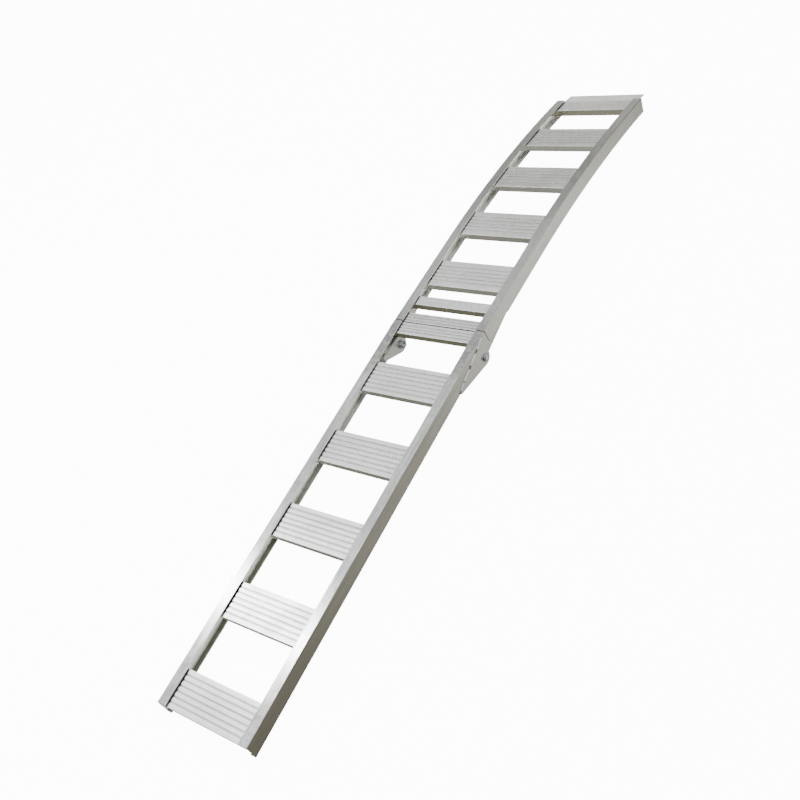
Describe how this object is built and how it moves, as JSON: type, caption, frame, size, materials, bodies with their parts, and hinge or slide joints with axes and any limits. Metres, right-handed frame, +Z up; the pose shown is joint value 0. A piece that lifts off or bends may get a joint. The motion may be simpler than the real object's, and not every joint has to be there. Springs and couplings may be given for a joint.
{
  "type": "folding loading ramp",
  "caption": "Arched folding loading ramp: two hinged aluminium sections with ribbed rungs between C-channel rails and a lip plate that rests on a tailgate.",
  "frame": {"origin": "centre of the footprint on the ground, ramp open and standing on its foot and on the lower corner of its top end", "axes": "+X across the ramp to the right when walking up it, +Y along it from the foot to the lip, +Z up"},
  "size_m": [0.323, 2.2874, 0.1075],
  "materials": {
    "rail_aluminium": "mill, extruded",
    "rung_aluminium": "mill, extruded, fine grooves",
    "plate_aluminium": "mill, sheared plate",
    "zinc_steel": "bright zinc plate"
  },
  "bodies": {
    "lower_section": {"lower_rail_left": "rail_aluminium", "lower_rail_right": "rail_aluminium", "lower_rung_1": "rung_aluminium", "lower_rung_2": "rung_aluminium", "lower_rung_3": "rung_aluminium", "lower_rung_4": "rung_aluminium", "lower_rung_5": "rung_aluminium", "lower_fold_rung": "rung_aluminium", "outer_hinge_plate_left": "plate_aluminium", "outer_hinge_plate_right": "plate_aluminium", "inner_hinge_plate_left": "plate_aluminium", "inner_hinge_plate_right": "plate_aluminium", "hinge_bolts": "zinc_steel", "hinge_lock_nuts": "zinc_steel", "hinge_washers": "zinc_steel", "hinge_spacers": "zinc_steel"},
    "upper_section": {"upper_rail_left": "rail_aluminium", "upper_rail_right": "rail_aluminium", "upper_fold_rung": "rung_aluminium", "upper_cross_bar": "rung_aluminium", "upper_rung_1": "rung_aluminium", "upper_rung_2": "rung_aluminium", "upper_rung_3": "rung_aluminium", "upper_rung_4": "rung_aluminium", "upper_end_rung": "rung_aluminium", "lip_plate": "plate_aluminium", "upper_hinge_lug_left": "plate_aluminium", "upper_hinge_lug_right": "plate_aluminium"}
  },
  "joints": [
    {"name": "fold", "type": "hinge", "parent": "lower_section", "child": "upper_section", "pos_m": [0, -0.00722, 0.04792], "axis": [-1, 0, 0], "range_deg": [0, 174]}
  ]
}
